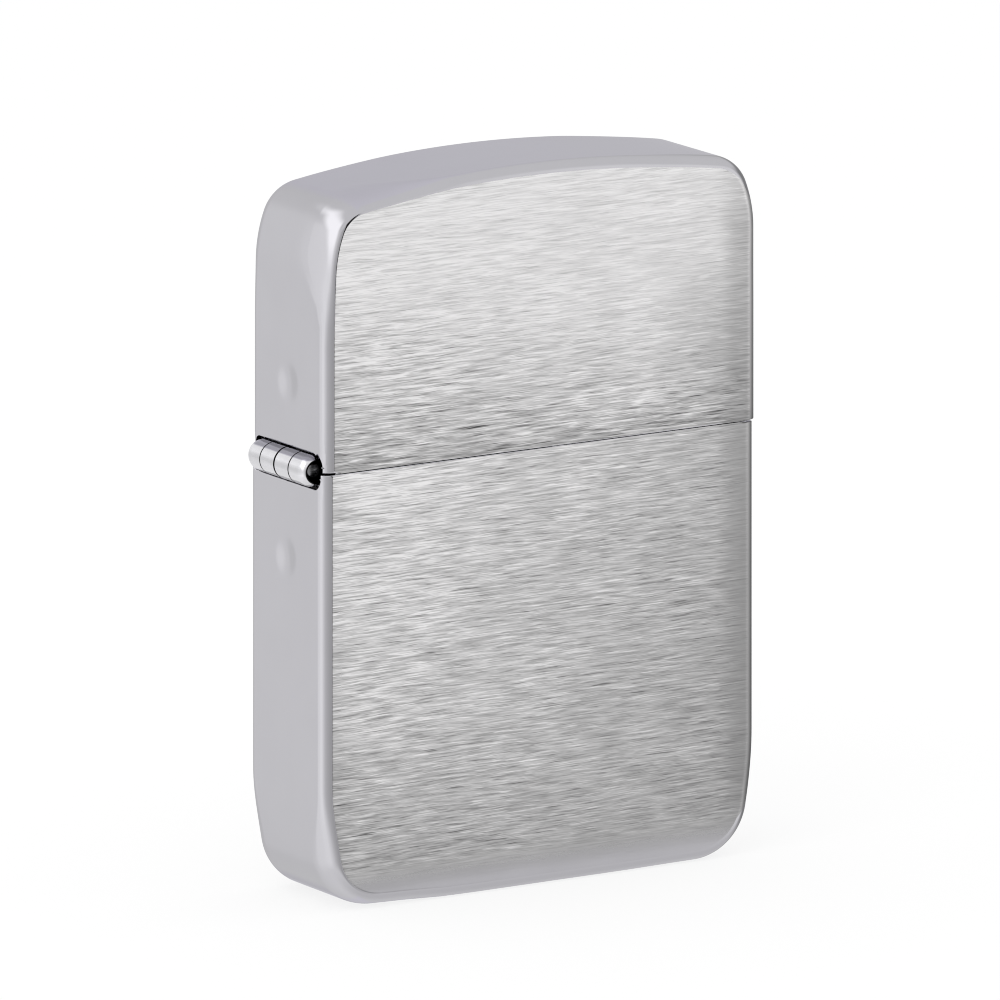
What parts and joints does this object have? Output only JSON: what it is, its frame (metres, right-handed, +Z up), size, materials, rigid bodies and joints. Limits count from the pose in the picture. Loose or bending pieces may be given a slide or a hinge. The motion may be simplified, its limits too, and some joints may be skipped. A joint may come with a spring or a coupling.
{
  "type": "pocket lighter",
  "caption": "Windproof flip-top pocket lighter: brushed metal case and hinged domed lid around a lift-out insert with chimney, spark wheel, cam, wick and flint column.",
  "frame": {"origin": "centre of the flat bottom face of the case", "axes": "+Z up along the height, +X across the width away from the hinge, +Y through the thickness away from the front face"},
  "size_m": [0.0392, 0.0126, 0.057],
  "materials": {
    "case_chrome": "satin",
    "hinge_steel": "gloss",
    "pin_steel": "satin",
    "stainless": "satin",
    "wheel_steel": "matte",
    "rivet_steel": "gloss",
    "cam_steel": "gloss",
    "spring_steel": "gloss",
    "wick_cotton": "matte",
    "brass": "satin",
    "screw_brass": "satin",
    "flint_alloy": "matte",
    "felt": "matte",
    "cotton": "matte"
  },
  "bodies": {
    "case": {"case_body": "case_chrome", "hinge_leaf_body": "hinge_steel", "hinge_pin": "pin_steel", "insert_case": "stainless", "chimney": "stainless", "wick_eyelet": "brass", "wick": "wick_cotton", "wheel_rivet": "rivet_steel", "cam_rivet": "rivet_steel", "cam_spring": "spring_steel", "cam_spring_rivet": "rivet_steel", "flint_tube": "brass", "flint_spring": "spring_steel", "flint_screw": "screw_brass", "felt_pad": "felt", "cotton_wads": "cotton"},
    "lid": {"lid": "case_chrome", "hinge_leaf_lid": "hinge_steel"},
    "cam": {"cam": "cam_steel"},
    "flint_wheel": {"flint_wheel": "wheel_steel"},
    "flint_stack": {"flint": "flint_alloy", "flint_plunger": "brass"}
  },
  "joints": [
    {"name": "lid_hinge", "type": "hinge", "parent": "case", "child": "lid", "pos_m": [-0.01876, 0, 0.03456], "axis": [0, -1, 0], "range_deg": [0, 130]},
    {"name": "cam_pivot", "type": "hinge", "parent": "case", "child": "cam", "pos_m": [-0.0132, 0, 0.0394], "axis": [0, -1, 0], "range_deg": [0, 50], "deforming": ["cam_spring"]},
    {"name": "wheel_spin", "type": "hinge", "parent": "case", "child": "flint_wheel", "pos_m": [0.0116, 0, 0.0424], "axis": [0, 1, 0], "continuous": true},
    {"name": "flint_feed", "type": "slide", "parent": "case", "child": "flint_stack", "axis": [0, 0, 1], "range_m": [-0.0008, 0], "stiffness_N_per_m": 150, "springref_m": 0.004, "deforming": ["flint_spring"]}
  ],
  "couplings": [
    {"joint": "cam_pivot", "follows": "lid_hinge", "ratio": 0.38}
  ]
}
